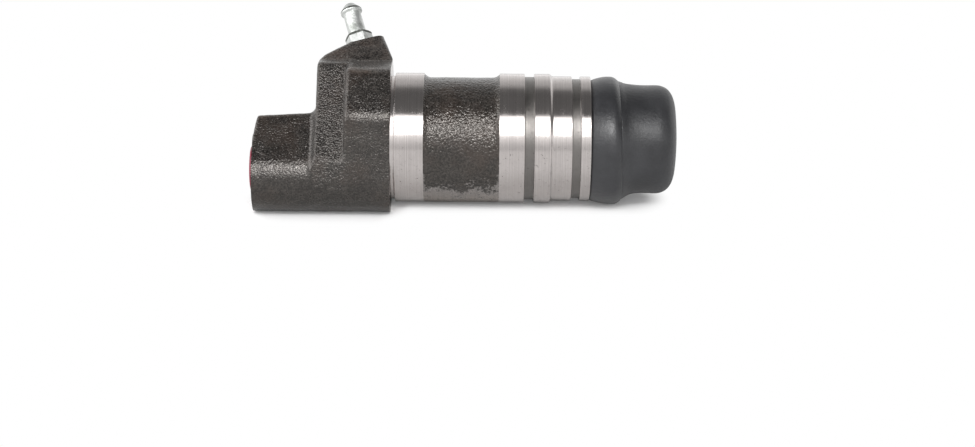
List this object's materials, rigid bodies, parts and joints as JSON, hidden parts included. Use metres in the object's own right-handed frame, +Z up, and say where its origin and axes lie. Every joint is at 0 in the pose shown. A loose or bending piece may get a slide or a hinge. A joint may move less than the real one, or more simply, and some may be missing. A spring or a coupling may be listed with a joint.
{
  "type": "clutch slave cylinder",
  "caption": "Cast hydraulic clutch slave cylinder with a turned barrel, side port boss, tilted bleed screw, plugged inlet, inner piston and rubber dust boot.",
  "frame": {"origin": "on the bore's axis, in the plane of the shoulder face that meets the housing", "axes": "+X along the bore towards the dust boot, +Z up as the part lies on its barrel and port boss, with the bleed boss leaning back towards +Y"},
  "size_m": [0.1379, 0.0584, 0.0554],
  "materials": {
    "casting": "rough black oxide, with bright turned lands",
    "plated_steel": "zinc plate",
    "plug": "satin",
    "rubber": "moulded",
    "piston_alloy": "turned",
    "spring_steel": "drawn wire and pressed sheet"
  },
  "bodies": {
    "housing": {"cylinder_casting": "casting", "dust_boot": "rubber", "retaining_ring": "spring_steel", "stop_washer": "spring_steel", "return_spring": "spring_steel"},
    "piston_set": {"piston": "piston_alloy", "rod_seat": "spring_steel", "primary_cup": "rubber", "cup_shim": "spring_steel", "spring_seat": "spring_steel", "secondary_seal": "rubber"},
    "bleed_screw": {"bleed_screw": "plated_steel"},
    "port_plug": {"port_plug": "plug"}
  },
  "joints": [
    {"name": "piston_slide", "type": "slide", "parent": "housing", "child": "piston_set", "axis": [1, 0, 0], "range_m": [-0.022, 0], "stiffness_N_per_m": 400, "springref_m": 0.02, "deforming": ["return_spring"]},
    {"name": "bleed_turn", "type": "hinge", "parent": "housing", "child": "bleed_screw", "pos_m": [-0.0107, 0.0238, 0.0222], "axis": [-0.2756, 0.703, 0.6556], "range_deg": [0, 180]},
    {"name": "plug_pull", "type": "slide", "parent": "housing", "child": "port_plug", "axis": [-1, 0, 0], "range_m": [0, 0.04]}
  ]
}
